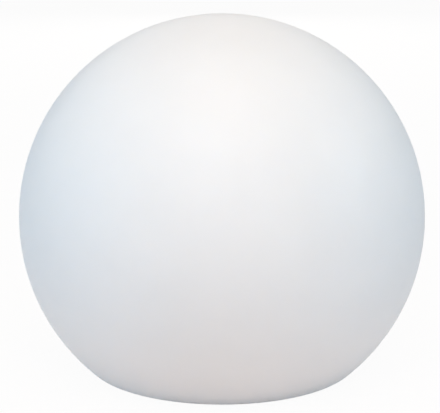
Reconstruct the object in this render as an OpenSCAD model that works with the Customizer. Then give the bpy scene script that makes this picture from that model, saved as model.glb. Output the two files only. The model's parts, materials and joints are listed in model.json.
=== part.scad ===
/* [Globe] */
// Outer diameter of the globe
globe_d = 400; // [380:5:440]
// Height of the globe's centre above its flat underside
centre_h = 151; // [145:1:158]
// Radius of the rounded edge around the flat underside
edge_r = 12; // [8:1:16]
// Wall of the globe
shell_t = 3.5; // [2.5:0.5:5]
// Depth of the recess in the underside, up to the seat of the lock ring
recess_depth = 21; // [20:0.5:26]
// Rounding of the edge around the recess, up to the wall's thickness
rim_r = 3; // [1:0.5:3.5]

/* [Feet] */
// Diameter of a foot
foot_d = 20; // [14:1:24]
// How far the feet stand out of the underside
foot_stand = 1.5; // [1:0.25:3]
// How deep the feet are let into the underside
foot_sink = 1.5; // [0.5:0.25:2]
// Number of feet
foot_count = 4; // [3:1:8]

/* [Lock ring] */
// Bore of the lock ring
lock_bore_d = 140; // [138:1:148]
// Wall of the lock ring's collar
lock_wall = 4.5; // [3:0.5:6]
// Thickness of the lock ring's flange
lock_flange_t = 3; // [2:0.5:4]
// Thickness of the gasket between the lock ring and the globe
gasket_t = 1.5; // [1:0.25:2.5]
// Number of bayonet lugs and of ledges
lug_count = 3; // [2:1:3]
// Angle that a lug or a ledge spans
lug_span = 50; // [35:1:54]
// Thickness of a lug
lug_t = 3; // [2:0.5:4]
// Width of a ledge, inwards from the bore
ledge_w = 4; // [3:0.5:5]
// Thickness of a ledge
ledge_t = 3; // [2:0.5:4]
// Height of the ledges above the flange's lower face
ledge_rise = 8; // [7.5:0.5:10]
// Thread diameter of the lock ring's screws
ring_screw_d = 4; // [3:0.5:5]
// Length of the lock ring's screws
ring_screw_l = 14; // [12:1:15]

/* [Base plate] */
// Thickness of the base plate
plate_t = 3.5; // [3:0.5:4.5]
// Wall of the base plate's collar
collar_t = 2.5; // [2:0.5:3]
// Diameter of the circle that the two finger wells lie in
well_d = 64; // [56:1:65]
// Depth of the finger wells
well_depth = 16; // [10:1:18]
// Wall around the finger wells
well_t = 2.5; // [1.5:0.5:3]
// Width of the grip bar between the finger wells
grip_w = 18; // [14:1:22]
// Height of the control board above the base plate
board_rise = 8.5; // [8.5:0.5:10]

/* [Power button] */
// Diameter of the power button
button_d = 16; // [14:0.5:18]
// How far the power button travels
button_travel = 1.5; // [0.5:0.25:1.5]
// How far the power button stands out of the base plate
button_proud = 0.6; // [0:0.1:1]

/* [Charging port] */
// Diameter of the charging jack's body
jack_d = 8; // [7:0.5:9]
// Diameter of the plug that the jack takes
jack_bore_d = 5.6; // [5:0.1:6]
// Diameter of the jack's centre contact
jack_pin_d = 2.1; // [1.5:0.1:2.5]
// Width of the port cover
cover_w = 23.4; // [18:0.2:26]
// Thickness of the port cover
cover_t = 1.6; // [1.2:0.1:2]
// Diameter of the port cover's hinge pin
hinge_pin_d = 1.6; // [1.2:0.1:2]

/* [Battery] */
// Diameter of a cell
cell_d = 18.5; // [17:0.5:19]
// Length of a cell
cell_l = 65; // [60:1:68]
// Number of cells
cell_count = 4; // [2:1:4]
// Thickness of the battery tray
tray_t = 2; // [1.5:0.5:4]

/* [Light engine] */
// Thickness of the heat spreader
spreader_t = 2.5; // [2:0.5:5]
// Diameter of the light board
light_board_d = 80; // [76:1:90]
// Number of emitters in the outer circle
emitter_count = 12; // [8:1:16]
// Height of the diffuser dome above its rim
dome_h = 34; // [24:1:50]
// Wall of the diffuser dome
dome_t = 2; // [1.5:0.25:2.5]

/* [Hidden] */
$fn = 96;

// Clearances
slide_gap = 0.3;
thread_gap = 0.1;
pin_gap = 0.05;
flange_gap = 0.5;
mouth_gap = 1.5;
recess_gap = 2.5;
head_gap = 1.5;
cut = 1;

// Heads of the screws, as shares of the thread's diameter
head_share = 0.6;
head_slope = 0.75;
socket_share = 0.8;
socket_depth = 0.6;
socket_sides = 6;
function head_r(d) = d;
function head_h(d) = head_share * d;

// Lock ring and what it is screwed to, outwards from the bore
lock_r = lock_bore_d / 2;
lock_out_r = lock_r + lock_wall;
mouth_r = lock_out_r + mouth_gap;
insert_wall = 1.5;
insert_r = ring_screw_d / 2 + insert_wall;
boss_wall = 2.2;
boss_r = insert_r + boss_wall;
boss_h = 9;
ring_screw_count = 6;
ring_screw_r = mouth_r + boss_r + slide_gap;
ring_head_r = head_r(ring_screw_d);
flange_edge = 2.5;
lock_flange_r = ring_screw_r + ring_head_r + flange_edge;
recess_r = lock_flange_r + recess_gap;
plate_r = ring_screw_r - ring_head_r - head_gap;

// Globe
globe_r = globe_d / 2;
flat_z = foot_stand;
centre_z = flat_z + centre_h;
flat_r = sqrt(pow(globe_r - edge_r, 2) - pow(centre_h - edge_r, 2));
rim = min(rim_r, shell_t);
seat_z = flat_z + recess_depth;
foot_r = foot_d / 2;
foot_ring_r = (recess_r + rim + flat_r) / 2;
foot_turn = 45;
foot_chamfer = 0.8;

// Heights of the lock ring and the base plate, upwards from the seat's flange
ring_z = seat_z - gasket_t - lock_flange_t;
ledge_z = ring_z + ledge_rise;
lug_z = ledge_z + ledge_t + slide_gap;
lug_top = lug_z + lug_t;
ring_over = 3.7;
ring_top = lug_top + ring_over;
lug_pitch = 360 / lug_count;
stop_span = 4;
stop_gap = 0.25;
plate_top = ring_z - flange_gap;
plate_z = plate_top - plate_t;
plate_chamfer = 1.5;
mark_t = 0.4;
mark_r = 1.6;
unlock_turn = lug_pitch - lug_span - stop_span - 2 * stop_gap;

// Base plate's collar
seal_r = lock_r - slide_gap;
collar_r = lock_r - ledge_w - flange_gap;
collar_in_r = collar_r - collar_t;
land_gap = 2;
land_top = ledge_z - land_gap;
o_ring_d = 3;
o_ring_bite = 0.2;
o_ring_z = (plate_top + land_top) / 2;
groove_w = o_ring_d + o_ring_bite;

// Finger wells
well_r = well_d / 2;
well_top = plate_z + well_depth + well_t;

// Housing screws and their pillars, inwards from the collar
spigot_r = collar_in_r - slide_gap;
spigot_t = 4;
pillar_r = 3.8;
pillar_ring_r = spigot_r - spigot_t;
pillar_count = 4;
pillar_turn = 45;
housing_screw_d = 3.5;
housing_screw_l = 18;
housing_head_r = head_r(housing_screw_d);
housing_head_sink = 2;

// Control board
board_gap = 0.9;
board_well_gap = 1.5;
board_t = 1.6;
board_z = plate_top + board_rise;
board_top = board_z + board_t;
board_in_r = well_r + well_t + board_well_gap;
board_out_r = pillar_ring_r - pillar_r - board_gap;
board_mid_r = (board_in_r + board_out_r) / 2;
board_screw_d = 2.5;
board_screw_l = 6;
board_boss_r = 3.2;
board_screw_angles = [30, 150, 210, 330];
header_h = 6;
header_w = 8;
charge_header_h = 4;
charge_header_angle = -66;
header_gap = 0.4;

// Power button and its switch
button_r = button_d / 2;
button_pos = [0, board_mid_r, 0];
button_z = plate_z - button_proud;
button_bore_r = button_r + slide_gap;
button_flange_w = 1.8;
button_flange_r = button_r + button_flange_w;
button_flange_z = plate_top + slide_gap;
button_flange_t = 1.2;
button_ring_d = 1.5;
button_ring_r = button_r - button_ring_d / 2 + slide_gap / 2;
button_ring_z = (plate_z + plate_top) / 2;
guide_t = 2;
guide_h = 2.5;
stem_r = 2.6;
switch_w = 6.2;
switch_h = 3.4;
switch_z = board_z - switch_h;
plunger_r = 1.7;
plunger_room = 0.5;
plunger_reach = 1.4;
plunger_z = switch_z - button_travel - slide_gap;
plunger_h = switch_z + plunger_reach - plunger_z;

// Charging jack, port pocket and port cover
jack_r = jack_d / 2;
jack_flange_w = 1.5;
jack_flange_r = jack_r + jack_flange_w;
jack_flange_t = 1.3;
jack_tail = 9.5;
jack_shift = 2.5;
jack_pos = [0, -(board_mid_r + jack_shift), 0];
jack_bore_depth = 9.5;
jack_nut_t = 2;
jack_nut_w = 1.9;
jack_nut_r = jack_r + jack_nut_w;
jack_board_gap = 2;
port_depth = 4.5;
port_floor_t = 3;
port_wall = 2;
port_floor_z = plate_z + port_depth;
port_top = port_floor_z + port_floor_t;
barrel_wall = 1;
barrel_r = hinge_pin_d / 2 + barrel_wall;
hinge_y = jack_pos.y + jack_flange_r + slide_gap + barrel_r;
hinge_z = plate_z + barrel_r;
port_near_y = hinge_y + barrel_r + flange_gap;
port_far_y = jack_pos.y - jack_flange_r - 2 * slide_gap;
port_w = cover_w + 2 * slide_gap;
cover_tip_y = port_far_y + slide_gap;
cover_seal_r = jack_flange_r - slide_gap;
cover_seal_t = port_floor_z - jack_flange_t - slide_gap - (plate_z + cover_t);
pin_seat = 1.6;
nail_notch_r = 4;
nail_notch_t = 1.2;

// Light pipe and vent
pipe_r = 1.5;
pipe_collar_r = 2.5;
pipe_collar_t = 0.8;
pipe_angle = -62;
vent_r = 5.5;
vent_t = 1.2;
vent_stem_r = 3.5;
vent_barb = 0.8;
vent_angle = -118;
vent_barb_h = 2;
vent_hole_r = 0.7;
vent_hole_count = 3;

// Inner housing
lug_room = 1.7;
well_room = 1.5;
housing_z = max(lug_top + lug_room, well_top + well_room, board_top + header_h + header_gap);
floor_t = 3;
floor_lap = 1.1;
floor_r = pillar_ring_r - pillar_r + floor_lap;
tray_z = housing_z + floor_t;
spigot_h = 5.5;
spigot_z = housing_z - spigot_h;
housing_ring_rise = 2;
small_o_ring_d = 2;
tray_screw_d = 3;
tray_screw_l = 8;

// Battery, upwards from the tray
tray_r = collar_in_r - flange_gap;
cell_gap = 0.5;
cell_pitch = cell_d + cell_gap;
cell_lift = 1;
cell_z = tray_z + tray_t + cell_lift + cell_d / 2;
cradle_in = 6;
cradle_x = cell_l / 2 - cradle_in;
cradle_t = 4;
cradle_h = cell_d / 2;
link_t = 0.4;
link_w = 7;
post_r = 3.5;
clamp_in = 13;
clamp_x = cell_l / 2 - clamp_in;
post_y = cell_count * cell_pitch / 2 + post_r + cell_gap;
foam_t = 1;
clamp_z = cell_z + cell_d / 2 + thread_gap + foam_t;
clamp_w = 8;
clamp_t = 2;
clamp_screw_d = 3;
clamp_screw_l = 10;
guard_t = 1.2;
guard_h = 14;
guard_w = 30;
guard_gap = 2;
guard_x = cell_l / 2 + link_t + guard_gap;

// Light engine, upwards from the battery
spreader_gap = 2.6;
spreader_z = clamp_z + clamp_t + head_h(clamp_screw_d) + spreader_gap;
spreader_ledge_t = 2.5;
spreader_screw_d = 3;
spreader_screw_l = 6;
spreader_screw_in = 2.2;
spreader_screw_r = pillar_ring_r - spreader_screw_in;
spreader_boss_r = 3.3;
spreader_boss_h = 6;
spreader_ledge_r = spreader_screw_r - spreader_boss_r;
pad_t = 0.5;
light_board_t = 1.6;
light_board_z = spreader_z + spreader_t + pad_t;
light_board_top = light_board_z + light_board_t;
light_screw_d = 3;
light_screw_l = 4;
light_board_r = light_board_d / 2;
light_screw_count = 3;
light_screw_in = 5;
light_screw_r = light_board_r - light_screw_in;
emitter_l = 3.5;
emitter_w = 2.8;
emitter_h = 0.8;
emitter_in = 8;
emitter_ring_r = light_screw_r - emitter_in;
wire_r = 0.8;
wire_gap = 3;
wire_bend = 2.4;
wire_hole_r = 4;
light_lead_lap = 3;

// Diffuser dome
housing_over = 7.5;
housing_top = spreader_z + spreader_t + housing_over;
skirt_t = 2.5;
skirt_z = spreader_z + spreader_t + flange_gap;
lip_h = 2;
dome_step = 0.5;
dome_base_r = collar_r - dome_step;
dome_r = (pow(dome_base_r, 2) + pow(dome_h, 2)) / (2 * dome_h);
dome_centre_z = housing_top + lip_h + dome_h - dome_r;
dome_screw_d = 3;
dome_screw_l = 4;
dome_screw_rise = 2.2;
dome_screw_z = skirt_z + dome_screw_rise;
dome_ring_drop = 2;
dome_ring_z = housing_top - dome_ring_drop;

// Shapes that repeat

module ring(r_in, r_out, z_low, z_high) {
    rotate_extrude()
        translate([r_in, z_low])
            square([r_out - r_in, z_high - z_low]);
}

module ring_arc(r_in, r_out, z_low, z_high, middle, span) {
    rotate([0, 0, middle - span / 2])
        rotate_extrude(angle = span)
            translate([r_in, z_low])
                square([r_out - r_in, z_high - z_low]);
}

module o_ring(r_mid, section_d, z) {
    rotate_extrude()
        translate([r_mid, z])
            circle(d = section_d);
}

module around(count, r, start = 0) {
    for (i = [0 : count - 1])
        rotate([0, 0, start + i * 360 / count])
            translate([r, 0, 0])
                children();
}

module at_angles(angles, r) {
    for (a = angles)
        rotate([0, 0, a])
            translate([r, 0, 0])
                children();
}

// Screw with its head's bearing face at z = 0 and its shank upwards
module screw(d, length) {
    r = head_r(d);
    h = head_h(d);
    difference() {
        union() {
            cylinder(d = d, h = length);
            translate([0, 0, -h / 2])
                cylinder(r = r, h = h / 2);
            translate([0, 0, -h])
                cylinder(r1 = head_slope * r, r2 = r, h = h / 2);
        }
        translate([0, 0, -h - cut])
            cylinder(d = socket_share * d, h = cut + socket_depth * h, $fn = socket_sides);
    }
}

module screw_down(d, length) {
    mirror([0, 0, 1])
        screw(d, length);
}

module bore(d, z_low, z_high) {
    translate([0, 0, z_low])
        cylinder(d = d, h = z_high - z_low);
}

// Globe

module flattened_globe(r, drop, fillet) {
    side_r = sqrt(pow(r - fillet, 2) - pow(drop - fillet, 2));
    low_z = centre_z - drop;
    fillet_z = low_z + fillet;
    touch_r = side_r * r / (r - fillet);
    touch_z = centre_z - (drop - fillet) * r / (r - fillet);
    intersection() {
        translate([0, centre_z])
            circle(r);
        translate([0, touch_z])
            square([r + cut, centre_z + r - touch_z + cut]);
    }
    polygon([[0, low_z], [side_r, low_z], [side_r, fillet_z], [touch_r, touch_z], [0, touch_z]]);
    intersection() {
        translate([side_r, fillet_z])
            circle(fillet);
        polygon([
            [side_r, fillet_z],
            [side_r, low_z - fillet],
            [side_r + 3 * fillet, low_z - fillet],
            [side_r + 3 * (touch_r - side_r), fillet_z + 3 * (touch_z - fillet_z)]
        ]);
    }
}

module globe_profile() {
    difference() {
        union() {
            difference() {
                flattened_globe(globe_r, centre_h, edge_r);
                flattened_globe(globe_r - shell_t, centre_h - shell_t, edge_r - shell_t);
            }
            translate([mouth_r, seat_z])
                square([recess_r + shell_t - mouth_r, shell_t]);
            translate([recess_r, flat_z])
                square([shell_t, recess_depth + shell_t]);
        }
        translate([0, flat_z - cut])
            square([recess_r, recess_depth + cut]);
        translate([0, flat_z - cut])
            square([recess_r + rim, rim + cut]);
    }
    intersection() {
        translate([recess_r + rim, flat_z + rim])
            circle(rim);
        translate([recess_r, flat_z])
            square([rim, rim]);
    }
}

module globe_shell() {
    color("#f4f3ef")
        difference() {
            union() {
                rotate_extrude()
                    globe_profile();
                around(ring_screw_count, ring_screw_r)
                    translate([0, 0, seat_z + shell_t / 2])
                        cylinder(r = boss_r, h = shell_t / 2 + boss_h);
            }
            around(ring_screw_count, ring_screw_r)
                translate([0, 0, seat_z - cut])
                    cylinder(r = insert_r, h = cut + boss_h + shell_t / 2);
            around(foot_count, foot_ring_r, foot_turn)
                translate([0, 0, flat_z - cut])
                    cylinder(r = foot_r + slide_gap, h = cut + foot_sink);
        }
}

module threaded_inserts() {
    color("#c9a24a")
        around(ring_screw_count, ring_screw_r)
            difference() {
                translate([0, 0, seat_z + thread_gap])
                    cylinder(r = insert_r - pin_gap, h = boss_h);
                bore(ring_screw_d + 2 * thread_gap, seat_z, seat_z + boss_h - cut);
            }
}

module seat_gasket() {
    color("#2b2c2e")
        difference() {
            ring(mouth_r, lock_flange_r - flange_gap, seat_z - gasket_t, seat_z);
            around(ring_screw_count, ring_screw_r)
                bore(ring_screw_d + 2 * slide_gap, seat_z - gasket_t - cut, seat_z + cut);
        }
}

module lock_ring() {
    color("#e9e9e6")
        difference() {
            union() {
                ring(lock_r, lock_flange_r, ring_z, ring_z + lock_flange_t);
                ring(lock_r, lock_out_r, ring_z, ring_top);
                for (i = [0 : lug_count - 1]) {
                    ring_arc(lock_r - ledge_w, lock_r + lock_wall / 2, ledge_z, ledge_z + ledge_t,
                        i * lug_pitch, lug_span);
                    ring_arc(lock_r - ledge_w, lock_r + lock_wall / 2, ledge_z, lug_top,
                        i * lug_pitch + lug_span / 2 + stop_gap + stop_span / 2, stop_span);
                }
                lock_marks();
            }
            around(ring_screw_count, ring_screw_r)
                bore(ring_screw_d + 2 * slide_gap, ring_z - cut, ring_z + lock_flange_t + cut);
        }
}

// A dot where the arrow stands when locked, and a small ring where it stands when open
module lock_marks() {
    mark_ring_r = (plate_r + lock_flange_r) / 2;
    at_angles([mark_angle()], mark_ring_r)
        bore(2 * mark_r, ring_z - mark_t, ring_z + cut);
    at_angles([mark_angle() - unlock_turn], mark_ring_r)
        translate([0, 0, ring_z - mark_t])
            difference() {
                cylinder(r = mark_r, h = mark_t + cut);
                translate([0, 0, -cut])
                    cylinder(r = mark_r / 2, h = mark_t + cut);
            }
}

function mark_angle() = 180 / ring_screw_count;

module lock_ring_screws() {
    color("#b9bcc0")
        around(ring_screw_count, ring_screw_r)
            translate([0, 0, ring_z])
                screw(ring_screw_d, ring_screw_l - lock_flange_t);
}

module rubber_feet() {
    color("#3a3b3d")
        around(foot_count, foot_ring_r, foot_turn) {
            translate([0, 0, foot_chamfer])
                cylinder(r = foot_r, h = foot_stand + foot_sink - foot_chamfer);
            cylinder(r1 = foot_r - foot_chamfer, r2 = foot_r, h = foot_chamfer);
        }
}

// Base module

module finger_well(r, half_bar, z_low, z_high) {
    for (side = [0, 1])
        mirror([0, side, 0])
            translate([0, 0, z_low])
                linear_extrude(z_high - z_low)
                    intersection() {
                        circle(r);
                        translate([-r, half_bar])
                            square([2 * r, r]);
                    }
}

module port_block(wall, z_low, z_high) {
    translate([-port_w / 2 - wall, port_far_y - wall, z_low])
        cube([port_w + 2 * wall, port_near_y - port_far_y + 2 * wall, z_high - z_low]);
}

module base_plate() {
    color("#e4e4e1")
        difference() {
            union() {
                translate([0, 0, plate_z + plate_chamfer])
                    cylinder(r = plate_r, h = plate_t - plate_chamfer);
                translate([0, 0, plate_z])
                    cylinder(r1 = plate_r - plate_chamfer, r2 = plate_r, h = plate_chamfer);
                ring(collar_in_r, seal_r, plate_top - cut, land_top);
                ring(collar_in_r, collar_r, land_top - cut, housing_z);
                for (i = [0 : lug_count - 1])
                    ring_arc(collar_r - collar_t / 2, lock_r - flange_gap, lug_z, lug_top,
                        i * lug_pitch, lug_span);
                finger_well(well_r + well_t, grip_w / 2 - well_t, plate_z + cut, well_top);
                port_block(port_wall, plate_z + cut, port_top);
                translate(button_pos)
                    bore(2 * (button_flange_r + slide_gap + guide_t), plate_z + cut,
                        plate_top + guide_h);
                at_angles(board_screw_angles, board_mid_r)
                    bore(2 * board_boss_r, plate_z + cut, board_z);
                lock_arrow();
            }
            ring(seal_r - o_ring_d, seal_r + cut, o_ring_z - groove_w / 2, o_ring_z + groove_w / 2);
            finger_well(well_r, grip_w / 2, plate_z - cut, plate_z + well_depth);
            port_block(0, plate_z - cut, port_floor_z);
            translate(jack_pos)
                bore(2 * (jack_r + thread_gap), plate_z, port_top + cut);
            translate([0, port_far_y, plate_z - cut])
                cylinder(r = nail_notch_r, h = cut + nail_notch_t);
            translate([0, hinge_y, hinge_z])
                rotate([0, 90, 0])
                    cylinder(d = hinge_pin_d + pin_gap, h = port_w + 2 * pin_seat, center = true);
            translate(button_pos) {
                bore(2 * button_bore_r, plate_z - cut, plate_top);
                bore(2 * (button_flange_r + slide_gap), plate_top, plate_top + guide_h + cut);
            }
            at_angles(board_screw_angles, board_mid_r)
                bore(board_screw_d + 2 * thread_gap, board_z - board_screw_l, board_z + cut);
            around(pillar_count, pillar_ring_r, pillar_turn) {
                bore(housing_screw_d + 2 * slide_gap, plate_z - cut, plate_top + cut);
                bore(2 * (housing_head_r + slide_gap), plate_z - cut, plate_z + housing_head_sink);
            }
            at_angles([pipe_angle], board_mid_r)
                bore(2 * (pipe_r + pin_gap), plate_z - cut, plate_top + cut);
            at_angles([vent_angle], board_mid_r)
                bore(2 * (vent_stem_r + thread_gap), plate_z - cut, plate_top + cut);
        }
}

module lock_arrow() {
    tip_r = plate_r - plate_chamfer - cut;
    rotate([0, 0, mark_angle()])
        translate([tip_r - 2 * mark_r, 0, plate_z - mark_t])
            linear_extrude(mark_t + cut)
                polygon([[0, -mark_r], [2 * mark_r, 0], [0, mark_r]]);
}

module collar_o_ring() {
    color("#232426")
        o_ring(seal_r + o_ring_bite / 2 - o_ring_d / 2, o_ring_d, o_ring_z);
}

module power_button() {
    color("#d9dadb")
        translate(button_pos)
            difference() {
                union() {
                    bore(button_d, button_z, button_flange_z + button_flange_t);
                    bore(2 * button_flange_r, button_flange_z, button_flange_z + button_flange_t);
                    bore(2 * stem_r, button_flange_z, plunger_z);
                }
                ring(button_ring_r - button_ring_d / 2, button_r + cut,
                    button_ring_z - button_ring_d / 2, button_ring_z + button_ring_d / 2);
                power_mark();
            }
}

// A broken ring and a bar, let into the button's face
module power_mark() {
    mark_out_r = 4.2;
    mark_w = 0.9;
    gap_span = 60;
    ring_arc(mark_out_r - mark_w, mark_out_r, button_z - cut, button_z + mark_t, -90, 360 - gap_span);
    translate([-mark_w / 2, mark_w, button_z - cut])
        cube([mark_w, mark_out_r, cut + mark_t]);
}

module button_o_ring() {
    color("#232426")
        translate(button_pos)
            o_ring(button_ring_r, button_ring_d, button_ring_z);
}

module switch_plunger() {
    color("#2e2f31")
        translate(button_pos)
            bore(2 * plunger_r, plunger_z, plunger_z + plunger_h);
}

module power_switch() {
    color("#3b3c3f")
        translate(button_pos)
            difference() {
                translate([-switch_w / 2, -switch_w / 2, switch_z])
                    cube([switch_w, switch_w, switch_h]);
                bore(2 * (plunger_r + slide_gap), switch_z - cut, board_z - plunger_room / 2);
            }
}

module charging_jack() {
    color("#26272a")
        translate(jack_pos)
            difference() {
                union() {
                    bore(2 * jack_flange_r, port_floor_z - jack_flange_t, port_floor_z);
                    bore(jack_d, port_floor_z - cut, port_top + jack_tail);
                }
                bore(jack_bore_d, plate_z, port_floor_z - jack_flange_t + jack_bore_depth);
                bore(jack_pin_d, port_floor_z, port_top + jack_tail + cut);
            }
}

module jack_contact() {
    color("#c7c9cc")
        translate(jack_pos)
            bore(jack_pin_d - pin_gap, port_floor_z, port_top + jack_tail);
}

module jack_nut() {
    color("#c7c9cc")
        translate(jack_pos)
            difference() {
                translate([0, 0, port_top])
                    cylinder(r = jack_nut_r, h = jack_nut_t, $fn = socket_sides);
                bore(jack_d + 2 * pin_gap, port_top - cut, port_top + jack_nut_t + cut);
            }
}

module indicator_light_pipe() {
    color("#eef4f4")
        at_angles([pipe_angle], board_mid_r) {
            bore(2 * pipe_r, plate_z, board_z - slide_gap);
            bore(2 * pipe_collar_r, plate_top, plate_top + pipe_collar_t);
        }
}

module vent_plug() {
    color("#5a5c60")
        at_angles([vent_angle], board_mid_r)
            difference() {
                union() {
                    bore(2 * vent_r, plate_z - vent_t, plate_z);
                    bore(2 * vent_stem_r, plate_z - cut, plate_top + slide_gap);
                    translate([0, 0, plate_top + slide_gap])
                        cylinder(r1 = vent_stem_r + vent_barb, r2 = vent_stem_r - vent_barb,
                            h = vent_barb_h);
                }
                around(vent_hole_count, vent_stem_r / 2)
                    bore(2 * vent_hole_r, plate_z - vent_t - cut, plate_top + vent_barb_h + cut);
            }
}

module cover_hinge_pin() {
    color("#c7c9cc")
        translate([0, hinge_y, hinge_z])
            rotate([0, 90, 0])
                cylinder(d = hinge_pin_d, h = port_w + 2 * pin_seat - 2 * thread_gap, center = true);
}

module port_cover() {
    color("#dcdddd")
        difference() {
            union() {
                translate([-cover_w / 2, cover_tip_y, plate_z])
                    cube([cover_w, hinge_y - cover_tip_y, cover_t]);
                translate([0, hinge_y, hinge_z])
                    rotate([0, 90, 0])
                        cylinder(r = barrel_r, h = cover_w, center = true);
            }
            translate([0, hinge_y, hinge_z])
                rotate([0, 90, 0])
                    cylinder(d = hinge_pin_d + 2 * pin_gap, h = cover_w + 2 * cut, center = true);
        }
}

module port_cover_seal() {
    color("#303134")
        translate(jack_pos)
            bore(2 * cover_seal_r, plate_z + cover_t, plate_z + cover_t + cover_seal_t);
}

// Control board and what is soldered to it

module control_board() {
    color("#1f6b43")
        difference() {
            ring(board_in_r, board_out_r, board_z, board_top);
            translate(jack_pos)
                bore(2 * (jack_r + jack_board_gap), board_z - cut, board_top + cut);
            at_angles(board_screw_angles, board_mid_r)
                bore(board_screw_d + 2 * slide_gap, board_z - cut, board_top + cut);
        }
}

module control_chips() {
    // Angle, width and height of each chip
    chips = [[132, 7, 1], [76, 5, 1.4], [228, 6, 1.2], [252, 4, 1]];
    color("#1d1e20")
        for (chip = chips)
            at_angles([chip[0]], board_mid_r)
                translate([-chip[1] / 2, -chip[1] / 2, board_top])
                    cube([chip[1], chip[1], chip[2]]);
}

module power_inductor() {
    inductor_angle = 56;
    inductor_r = 5.5;
    inductor_h = 5;
    color("#6b6e73")
        at_angles([inductor_angle], board_mid_r)
            bore(2 * inductor_r, board_top, board_top + inductor_h);
}

module board_capacitors() {
    capacitor_angles = [104, 116, 308];
    capacitor_r = 3.1;
    capacitor_h = 5.5;
    color("#b8bbc0")
        at_angles(capacitor_angles, board_mid_r)
            bore(2 * capacitor_r, board_top, board_top + capacitor_h);
}

module header(angle, height) {
    at_angles([angle], board_mid_r)
        translate([-header_w / 2, -header_w / 2, board_top])
            cube([header_w, header_w, height]);
}

module wire_headers() {
    color("#efece2") {
        header(0, header_h);
        header(180, header_h);
        header(charge_header_angle, charge_header_h);
    }
}

module board_screws() {
    color("#b9bcc0")
        at_angles(board_screw_angles, board_mid_r)
            translate([0, 0, board_top])
                screw_down(board_screw_d, board_screw_l);
}

// Inner housing

module inner_housing() {
    color("#d4d6d8")
        difference() {
            union() {
                ring(collar_in_r, collar_r, housing_z, housing_top);
                ring(floor_r, collar_in_r + collar_t / 2, housing_z, tray_z);
                ring(pillar_ring_r, spigot_r, spigot_z, housing_z + cut);
                ring(spreader_ledge_r, collar_in_r + collar_t / 2,
                    spreader_z - spreader_ledge_t, spreader_z);
                around(pillar_count, pillar_ring_r, pillar_turn)
                    bore(2 * pillar_r, plate_top, housing_z + cut);
                around(pillar_count, pillar_ring_r)
                    bore(2 * pillar_r, spigot_z, housing_z + cut);
                around(pillar_count, spreader_screw_r, pillar_turn)
                    bore(2 * spreader_boss_r, spreader_z - spreader_boss_h, spreader_z - cut);
            }
            ring(spigot_r - small_o_ring_d, spigot_r + cut,
                housing_o_ring_z() - small_o_ring_d / 2, housing_o_ring_z() + small_o_ring_d / 2);
            around(pillar_count, pillar_ring_r, pillar_turn)
                bore(housing_screw_d + 2 * thread_gap, plate_top - cut, housing_screw_top() + cut);
            around(pillar_count, pillar_ring_r)
                bore(tray_screw_d + 2 * thread_gap, tray_z + tray_t - tray_screw_l - cut, tray_z + cut);
            around(pillar_count, spreader_screw_r, pillar_turn)
                bore(spreader_screw_d + 2 * thread_gap,
                    spreader_z + spreader_t - spreader_screw_l - cut, spreader_z + cut);
            around(pillar_count, 0)
                translate([spigot_r, 0, dome_screw_z])
                    rotate([0, 90, 0])
                        cylinder(d = dome_screw_d + 2 * thread_gap, h = 2 * collar_t);
        }
}

function housing_o_ring_z() = spigot_z + housing_ring_rise;
function housing_screw_top() = plate_z + housing_head_sink + housing_screw_l;

module housing_o_ring() {
    color("#232426")
        o_ring(spigot_r + slide_gap / 2 - small_o_ring_d / 2, small_o_ring_d, housing_o_ring_z());
}

module housing_screws() {
    color("#b9bcc0")
        around(pillar_count, pillar_ring_r, pillar_turn)
            translate([0, 0, plate_z + housing_head_sink])
                screw(housing_screw_d, housing_screw_l);
}

// Battery

module cell_bodies(extra) {
    for (i = [0 : cell_count - 1])
        translate([0, (i - (cell_count - 1) / 2) * cell_pitch, cell_z])
            rotate([0, 90, 0])
                cylinder(d = cell_d + 2 * extra, h = cell_l + 2 * extra, center = true);
}

module battery_tray() {
    cradle_len = cell_count * cell_pitch;
    color("#3d4044")
        difference() {
            union() {
                bore(2 * tray_r, tray_z, tray_z + tray_t);
                for (x = [-cradle_x, cradle_x])
                    translate([x - cradle_t / 2, -cradle_len / 2, tray_z])
                        cube([cradle_t, cradle_len, tray_t + cradle_h]);
                for (x = [-clamp_x, clamp_x], y = [-post_y, post_y])
                    translate([x, y, 0])
                        bore(2 * post_r, tray_z, clamp_z);
            }
            cell_bodies(thread_gap);
            for (x = [-clamp_x, clamp_x], y = [-post_y, post_y])
                translate([x, y, 0])
                    bore(clamp_screw_d + 2 * thread_gap, clamp_z + clamp_t - clamp_screw_l - cut,
                        clamp_z + cut);
            around(2, board_mid_r)
                bore(2 * wire_hole_r, tray_z - cut, tray_z + tray_t + cut);
            around(pillar_count, pillar_ring_r)
                bore(tray_screw_d + 2 * slide_gap, tray_z - cut, tray_z + tray_t + cut);
        }
}

module tray_screws() {
    color("#b9bcc0")
        around(pillar_count, pillar_ring_r)
            translate([0, 0, tray_z + tray_t])
                screw_down(tray_screw_d, tray_screw_l);
}

module battery_cells() {
    color("#2f7fb0")
        cell_bodies(0);
}

module cell_links() {
    link_len = cell_count * cell_pitch - link_w;
    color("#c7c9cc")
        for (side = [0, 1])
            mirror([side, 0, 0])
                translate([cell_l / 2, -link_len / 2, cell_z - link_w / 2])
                    cube([link_t, link_len, link_w]);
}

module clamp_bar(z_low, thickness, length) {
    for (x = [-clamp_x, clamp_x])
        translate([x - clamp_w / 2, -length / 2, z_low])
            cube([clamp_w, length, thickness]);
}

module clamp_foam() {
    color("#8b8e92")
        clamp_bar(clamp_z - foam_t, foam_t, 2 * (post_y - post_r - slide_gap));
}

module battery_clamps() {
    color("#c5c8cb")
        difference() {
            clamp_bar(clamp_z, clamp_t, 2 * (post_y + post_r));
            for (x = [-clamp_x, clamp_x], y = [-post_y, post_y])
                translate([x, y, 0])
                    bore(clamp_screw_d + 2 * slide_gap, clamp_z - cut, clamp_z + clamp_t + cut);
        }
}

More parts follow.
